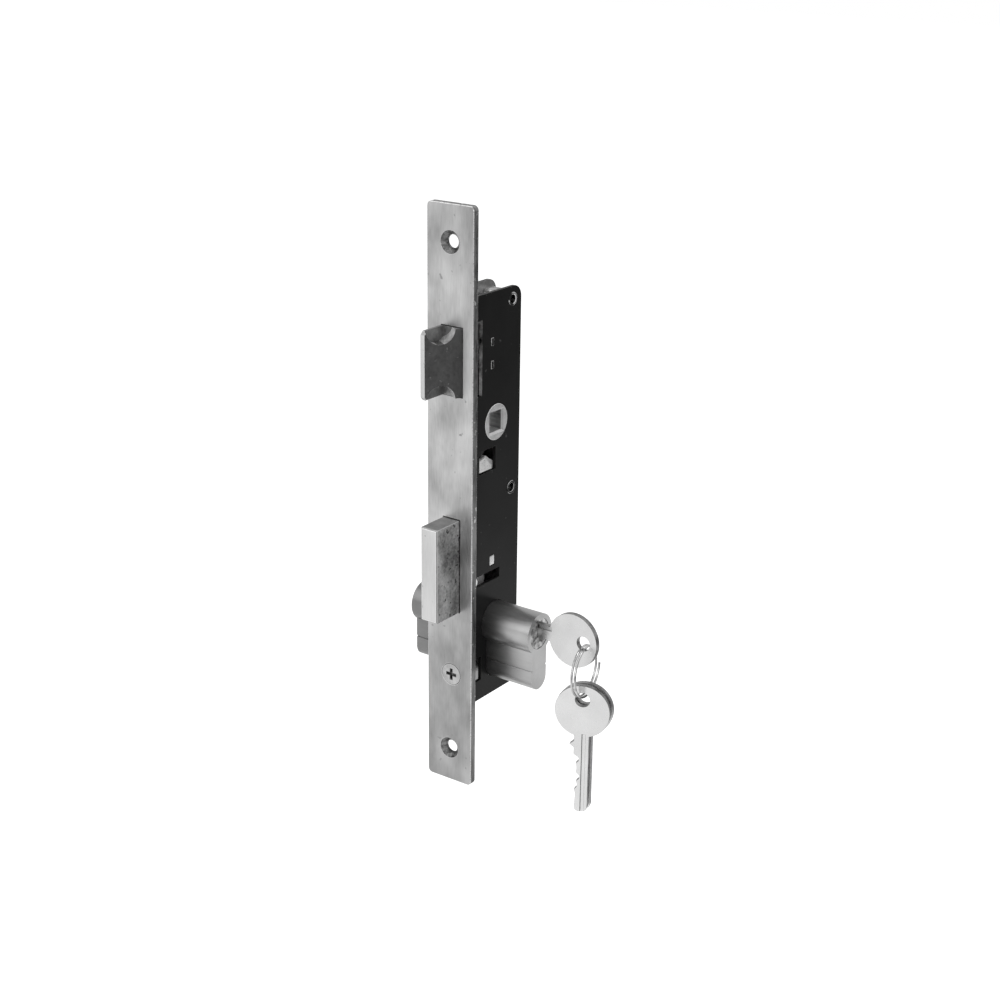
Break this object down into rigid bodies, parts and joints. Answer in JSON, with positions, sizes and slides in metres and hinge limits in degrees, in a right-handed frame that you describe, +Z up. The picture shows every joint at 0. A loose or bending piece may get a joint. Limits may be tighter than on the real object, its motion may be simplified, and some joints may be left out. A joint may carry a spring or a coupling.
{
  "type": "door lock",
  "caption": "Narrow mortice door lock with spring latch, square deadbolt, double profile cylinder and keys on a split ring; the handle spindle draws the latch, the key throws the deadbolt.",
  "frame": {"origin": "midway between the faceplate's two fixing holes, on its front face", "axes": "+X across the lock towards its cover and the inserted key, +Y into the case, +Z up"},
  "size_m": [0.0925, 0.0507, 0.2453],
  "materials": {
    "brushed_plate": "satin",
    "black_case": "semi-gloss black",
    "zinc_steel": "bright zinc plated",
    "bolt_metal": "ground, nickel plated",
    "spring_steel": "bright wire",
    "nickel_brass": "satin nickel plated",
    "nickel_key": "satin nickel plated",
    "pin_brass": "bare"
  },
  "bodies": {
    "case": {"faceplate": "brushed_plate", "case_body": "black_case", "case_cover": "black_case", "spacer_posts": "zinc_steel", "lever_pivot": "zinc_steel", "faceplate_studs": "zinc_steel", "latch_spring": "spring_steel", "latch_spring_plate": "zinc_steel", "detent_spring": "spring_steel", "cylinder_body": "nickel_brass", "plug_far": "nickel_brass", "clip_far": "spring_steel", "key_pins_far": "pin_brass", "driver_pins": "pin_brass", "pin_springs": "spring_steel", "cylinder_screw": "zinc_steel"},
    "hub": {"follower_hub": "zinc_steel"},
    "latch": {"latch_bolt": "bolt_metal"},
    "lever": {"latch_lever": "zinc_steel"},
    "deadbolt": {"deadbolt": "bolt_metal", "deadbolt_pin": "zinc_steel"},
    "plug": {"plug_near": "nickel_brass", "cylinder_cam": "zinc_steel", "clip_near": "spring_steel", "key_pins_near": "pin_brass", "key_1": "nickel_key"},
    "ring": {"key_ring": "spring_steel"},
    "second_key": {"key_2": "nickel_key"},
    "third_key": {"key_3": "nickel_key"}
  },
  "joints": [
    {"name": "hub_turn", "type": "hinge", "parent": "case", "child": "hub", "pos_m": [0.0009, 0.02, 0.032], "axis": [-1, 0, 0], "range_deg": [0, 45.4]},
    {"name": "latch_slide", "type": "slide", "parent": "case", "child": "latch", "axis": [0, 1, 0], "range_m": [0, 0.0125], "stiffness_N_per_m": 350, "springref_m": -0.002, "deforming": ["latch_spring"]},
    {"name": "lever_swing", "type": "hinge", "parent": "case", "child": "lever", "pos_m": [0.00465, 0.0307, 0.0018], "axis": [-1, 0, 0], "range_deg": [0, 9.1]},
    {"name": "key_turn", "type": "hinge", "parent": "case", "child": "plug", "pos_m": [0.03, 0.02, -0.053], "axis": [-1, 0, 0], "range_deg": [0, 360]},
    {"name": "deadbolt_slide", "type": "slide", "parent": "case", "child": "deadbolt", "axis": [0, 1, 0], "range_m": [0, 0.0142]},
    {"name": "ring_swing", "type": "hinge", "parent": "plug", "child": "ring", "pos_m": [0.052, 0.02, -0.05295], "axis": [0, -1, 0], "range_deg": [-18, 50]},
    {"name": "key_2_swing", "type": "hinge", "parent": "ring", "child": "second_key", "pos_m": [0.0529, 0.0186, -0.07364], "axis": [0.342, -0.9397, 0], "range_deg": [-20, 20]},
    {"name": "key_3_swing", "type": "hinge", "parent": "ring", "child": "third_key", "pos_m": [0.05254, 0.02158, -0.07364], "axis": [0.342, -0.9397, 0], "range_deg": [-20, 20]}
  ],
  "couplings": [
    {"joint": "hub_turn", "follows": "latch_slide", "rad_per_m": 63.39},
    {"joint": "lever_swing", "follows": "latch_slide", "rad_per_m": 12.678},
    {"joint": "key_turn", "follows": "deadbolt_slide", "rad_per_m": 442.48}
  ]
}
